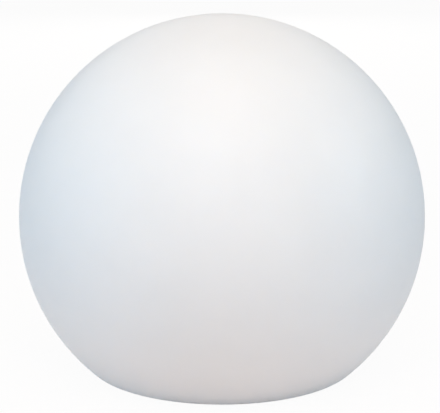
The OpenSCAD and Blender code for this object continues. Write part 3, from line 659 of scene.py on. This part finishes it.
# %% [markdown]
# The radii are those of the real feet, inserts and bosses, and the circles they stand on are read
# off their nodes. A foot has a little room in its socket, because it is glued in, and an insert has
# almost none, because it is pressed in warm.

# %% Bosses and sockets
FOOT_COUNT, FOOT_TURN, FOOT_R, FOOT_GAP = 4, 45, 10 * MM, 0.3 * MM
INSERT_COUNT, INSERT_R, INSERT_GAP, BOSS_R = 6, 3.45 * MM, 0.05 * MM, 5.7 * MM
DRILL_START = 0.3 * MM

inserts_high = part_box("threaded_inserts")[1]
insert_ring = inserts_high.x - INSERT_R
feet_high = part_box("rubber_feet")[1]
foot_ring = (feet_high.x - FOOT_R) / math.cos(math.radians(FOOT_TURN))
bosses = spread(INSERT_COUNT, 0, BOSS_R, insert_ring, seat_z + WALL / 2, inserts_high.z + WALL)
combine(globe, bosses, "UNION")
drills = spread(INSERT_COUNT, 0, INSERT_R + INSERT_GAP, insert_ring, seat_z - DRILL_START,
                inserts_high.z + WALL / 2)
combine(globe, drills, "DIFFERENCE")
sockets = spread(FOOT_COUNT, FOOT_TURN, FOOT_R + FOOT_GAP, foot_ring, 0.0, feet_high.z)
combine(globe, sockets, "DIFFERENCE")
clean_cuts(globe)
settle(globe, "milky_globe", "globe", "globe_shell")
print("feet on a circle of", round(foot_ring, 4), "inserts on", round(insert_ring, 4))

# %% [markdown]
# The parts of the underside that a hand touches are moulded, so none of them has a knife edge. They
# could be modelled again, but their shapes are right as they are and only too sharp. Each gets a
# copy whose doubled points are merged and whose flat faces are made whole, the sharp edges of the
# copy are broken by a small bevel, and it replaces the node.

# %% Softened parts
COPY_MERGE = 0.002 * MM
FLAT_ANGLE = math.radians(0.5)
BEVEL_STEPS = 2
SOFT_PARTS = (
    ("lock_ring", "globe", 0.4 * MM), ("base_plate", "base_module", 0.5 * MM),
    ("rubber_feet", "globe", 0.5 * MM), ("power_button", "power_button", 0.25 * MM),
    ("port_cover", "port_cover", 0.2 * MM), ("vent_plug", "base_module", 0.2 * MM))


def soften(node, body, width):
    piece = bpy.data.objects.new("soft_" + node, nodes[node].data.copy())
    bpy.context.scene.collection.objects.link(piece)
    take(piece)
    bpy.ops.object.mode_set(mode="EDIT")
    bpy.ops.mesh.select_all(action="SELECT")
    bpy.ops.mesh.remove_doubles(threshold=COPY_MERGE)
    bpy.ops.mesh.dissolve_limited(angle_limit=FLAT_ANGLE)
    bpy.ops.mesh.normals_make_consistent(inside=False)
    bpy.ops.object.mode_set(mode="OBJECT")
    use_modifier(piece, "BEVEL", width=width, segments=BEVEL_STEPS, limit_method="ANGLE",
                 angle_limit=SMOOTH_ANGLE)
    settle(piece, "soft_" + node, body, node)


for node, body, width in SOFT_PARTS:
    soften(node, body, width)

# %% [markdown]
# The floor is one pale sheet. The camera sees it as the white of the photograph, with a trace of the
# ball's soft shadow still in it: there its own shading is mixed with a white glow. More light on the
# floor would whiten it too, but it would bleach the ball. Reflections see less of the glow, so that
# the rim of the ball stays a little darker near the floor. From below the sheet lets the view
# through.

# %% The floor's material
PAPER = (0.86, 0.77, 0.73)
GLOW_SEEN, GLOW_MIRRORED = 0.95, 0.65


def pale_floor():
    material = bpy.data.materials.new("pale_floor")
    material.use_nodes = True
    tree = material.node_tree
    tree.nodes.clear()
    blank = Socket(tree)
    camera_ray = blank.node("ShaderNodeLightPath", output="Is Camera Ray")
    glossy_ray = camera_ray.beside("Is Glossy Ray")
    clear_ray = camera_ray.beside("Is Transmission Ray")
    place = blank.node("ShaderNodeTexCoord", output="Object")
    tones = place.noise(30.0, detail=4.0).mottled(PAPER, 0.98, 1.02)
    sheet = blank.node("ShaderNodeBsdfDiffuse", {"Color": tones})
    glow = blank.node("ShaderNodeEmission", {"Color": colour(1, 1, 1), "Strength": 1.0})
    clear = blank.node("ShaderNodeBsdfTransparent")
    share = (camera_ray.higher(clear_ray) * GLOW_SEEN).higher(glossy_ray * GLOW_MIRRORED)
    lit = blank.node("ShaderNodeMixShader", {0: share, 1: sheet, 2: glow})
    behind = blank.node("ShaderNodeNewGeometry", output="Backfacing")
    final = blank.node("ShaderNodeMixShader", {0: behind, 1: lit, 2: clear})
    blank.node("ShaderNodeOutputMaterial", {"Surface": final})
    return material


paper_sheet = pale_floor()
print(paper_sheet.name, "ready")

# %% [markdown]
# A plain disc would do for the floor, but then the underside would stand in the dark when it is
# looked at from below. A round window under the ball, which the ball itself hides from above, lets
# light reach the base module. The sheet starts as the window's edge and is pulled out from there.

# %% Floor
WINDOW_R, FLOOR_R = 0.12, 20.0

start_clean()
bpy.ops.mesh.primitive_circle_add(vertices=64, radius=WINDOW_R)
floor = bpy.context.object
floor.name = "pale_floor"
bpy.ops.object.mode_set(mode="EDIT")
bpy.ops.mesh.select_all(action="SELECT")
pull_ring(FLOOR_R, 0.0, (WINDOW_R, 0.0))
bpy.ops.object.mode_set(mode="OBJECT")
floor.data.materials.append(paper_sheet)
print("floor normal", tuple(floor.data.polygons[0].normal))

# %% [markdown]
# The light is that of a white tent. A tent of cloth could be built round the lamp, but the world can
# play its part with less noise. Its colour depends on height alone: a cool wide band above the
# horizon, a dim top, where the lamps take over, and a dark horizon. What comes from below meets only
# the base module, through the floor's window. The levels match the fall-off that the photograph
# shows down the middle of the ball and out to its sides. The camera sees plain white instead.

# %% World
TENT = [(-1.0, (0.5, 0.5, 0.5)), (-0.4, (0.5, 0.5, 0.5)), (0.0, (0.12, 0.12, 0.12)),
        (0.35, (0.69, 0.775, 0.865)), (0.7, (0.3, 0.3, 0.3)), (1.0, (0.1, 0.1, 0.1))]


def white_tent(stops):
    """A world whose colour is given by height, from -1 straight down to 1 straight up."""
    world = bpy.data.worlds.new("white_tent")
    bpy.context.scene.world = world
    world.use_nodes = True
    tree = world.node_tree
    tree.nodes.clear()
    blank = Socket(tree)
    camera_ray = blank.node("ShaderNodeLightPath", output="Is Camera Ray")
    clear_ray = camera_ray.beside("Is Transmission Ray")
    direction = blank.node("ShaderNodeTexCoord", output="Generated")
    height = direction.part(2) * 0.5 + 0.5
    tones = height.ramp([((z + 1) / 2, colour(*tone)) for z, tone in stops])
    lit = blank.node("ShaderNodeBackground", {"Color": tones, "Strength": 1.0})
    white = blank.node("ShaderNodeBackground", {"Color": colour(1, 1, 1), "Strength": 1.0})
    final = blank.node("ShaderNodeMixShader", {0: camera_ray.higher(clear_ray), 1: lit, 2: white})
    blank.node("ShaderNodeOutputWorld", {"Surface": final})


white_tent(TENT)
print("the tent has", len(TENT), "zones")

# %% [markdown]
# A large white lamp in front and above makes the bright zone on the upper half. A warm one stands
# higher and carries it over the top, two bluish ones keep the flanks cool, and a plain one behind
# lifts the far side. Seen at a grazing angle, that one would draw a bright rim round the ball that
# the photograph doesn't have, so it makes no reflections. A small one stands under the floor and
# shines up through the window, so that the recess and its screws show their relief from below. Round
# lamps are used, because the soft zones of a ball have no corners. The camera doesn't see any of
# them, wherever it stands.

# %% Lamps
LAMP_DISTANCE, LAMP_SIZE = 2.2, 1.6


def soft_lamp(name, azimuth, elevation, power, tint, distance=LAMP_DISTANCE, size=LAMP_SIZE):
    """A round lamp that faces the ball from a bearing; azimuth 0 is the camera's side."""
    a, e = math.radians(azimuth), math.radians(elevation)
    away = Vector((math.sin(a) * math.cos(e), -math.cos(a) * math.cos(e), math.sin(e)))
    data = bpy.data.lights.new(name, "AREA")
    data.shape = "DISK"
    data.size = size
    data.energy = power
    data.color = tint
    lamp = bpy.data.objects.new(name, data)
    bpy.context.scene.collection.objects.link(lamp)
    lamp.location = centre + away * distance
    lamp.rotation_mode = "QUATERNION"
    lamp.rotation_quaternion = away.to_track_quat("Z", "Y")
    lamp.visible_camera = False
    return lamp


soft_lamp("key_lamp", 0, 46, 15.1, (0.93, 0.955, 1.0))
soft_lamp("high_lamp", 0, 72, 19.6, (1.0, 0.79, 0.61))
soft_lamp("left_lamp", -75, 15, 9.4, (0.155, 0.63, 1.0))
soft_lamp("right_lamp", 75, 15, 7.4, (0.17, 0.655, 1.0))
back_lamp = soft_lamp("back_lamp", 180, 15, 10.0, (1.0, 1.0, 1.0), size=1.2)
back_lamp.visible_glossy = False
soft_lamp("under_lamp", -40, -52, 7.0, (1.0, 0.99, 0.97), distance=1.5, size=0.3)
print(len(bpy.data.lights), "lamps")
